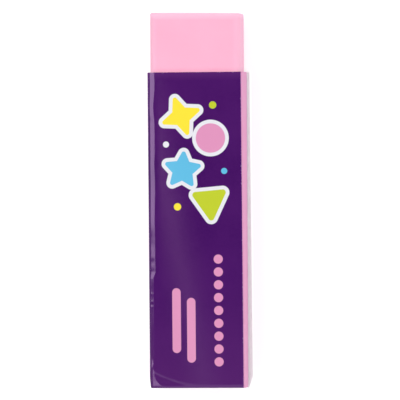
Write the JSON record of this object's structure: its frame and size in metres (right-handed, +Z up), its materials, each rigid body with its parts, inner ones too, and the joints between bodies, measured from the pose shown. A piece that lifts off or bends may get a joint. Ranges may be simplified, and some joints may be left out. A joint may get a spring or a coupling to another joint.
{
  "type": "eraser",
  "caption": "Slim pink vinyl eraser block with soft edges in a glossy dark purple folded card sleeve; the block slides in the sleeve as it wears.",
  "frame": {"origin": "on the resting face, the plane of the sleeve's back panel, under the middle of the block's width and of the whole length", "axes": "+X across to the right of the front panel, +Y along the block towards its bare end, +Z up out of the front panel"},
  "size_m": [0.0164, 0.0616, 0.0111],
  "materials": {
    "vinyl": "satin",
    "printed_card": "gloss"
  },
  "bodies": {
    "sleeve": {"card_sleeve": "printed_card"},
    "block": {"eraser_block": "vinyl"}
  },
  "joints": [
    {"name": "block_slide", "type": "slide", "parent": "sleeve", "child": "block", "axis": [0, 1, 0], "range_m": [-0.0098, 0.03]}
  ]
}
